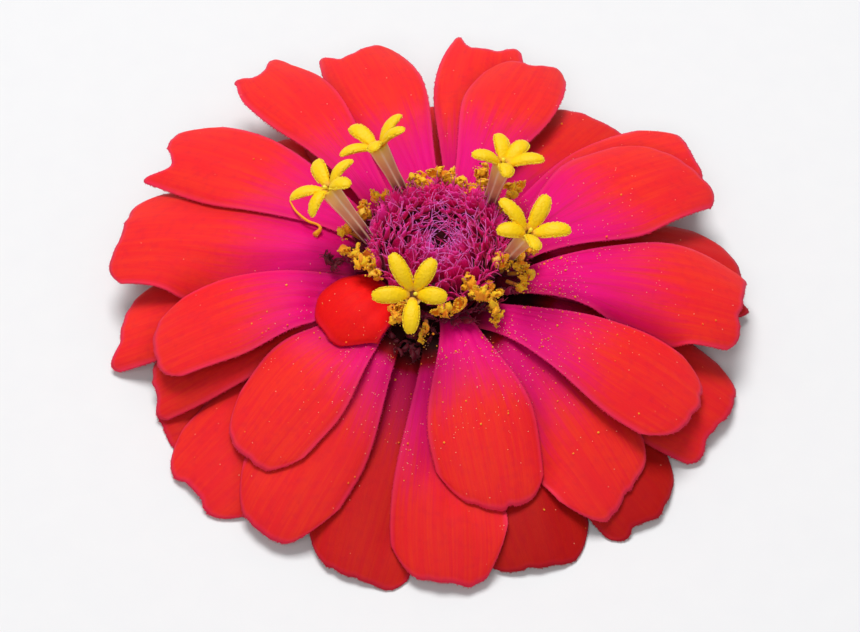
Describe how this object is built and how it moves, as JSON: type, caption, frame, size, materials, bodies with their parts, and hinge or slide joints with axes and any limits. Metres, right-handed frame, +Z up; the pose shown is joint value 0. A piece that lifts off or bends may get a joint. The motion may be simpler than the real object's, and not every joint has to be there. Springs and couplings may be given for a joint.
{
  "type": "zinnia flower",
  "caption": "Cut zinnia head lying face up: layered red petals round a purple chaff dome with yellow disc florets, on a green cup of bracts.",
  "frame": {"origin": "centre of the flat scar under the head where the stem was nipped off, on the surface that the head lies on, on the flower's axis", "axes": "+Z up along the flower's axis, out of the face; -Y towards the viewer of the picture; +X to the viewer's right"},
  "size_m": [0.0683, 0.0716, 0.0226],
  "materials": {
    "bracts": "matte green with dark fringed tips",
    "petals": "velvety matte red, magenta towards the root",
    "chaff": "matte purple, fringed",
    "open_florets": "fuzzy matte yellow on pale tubes",
    "withered_florets": "dry granular ochre"
  },
  "bodies": {
    "root": {"involucre": "bracts", "ray_petals": "petals", "chaff_dome": "chaff", "disc_floret_1": "open_florets", "disc_floret_2": "open_florets", "disc_floret_3": "open_florets", "disc_floret_4": "open_florets", "disc_floret_5": "open_florets", "withered_floret_1": "withered_florets", "withered_floret_2": "withered_florets", "withered_floret_3": "withered_florets", "withered_floret_4": "withered_florets", "withered_floret_5": "withered_florets", "withered_floret_6": "withered_florets", "withered_floret_7": "withered_florets", "withered_floret_8": "withered_florets", "withered_floret_9": "withered_florets", "withered_floret_10": "withered_florets", "withered_floret_11": "withered_florets", "withered_floret_12": "withered_florets", "withered_floret_13": "withered_florets", "withered_floret_14": "withered_florets"}
  },
  "joints": []
}
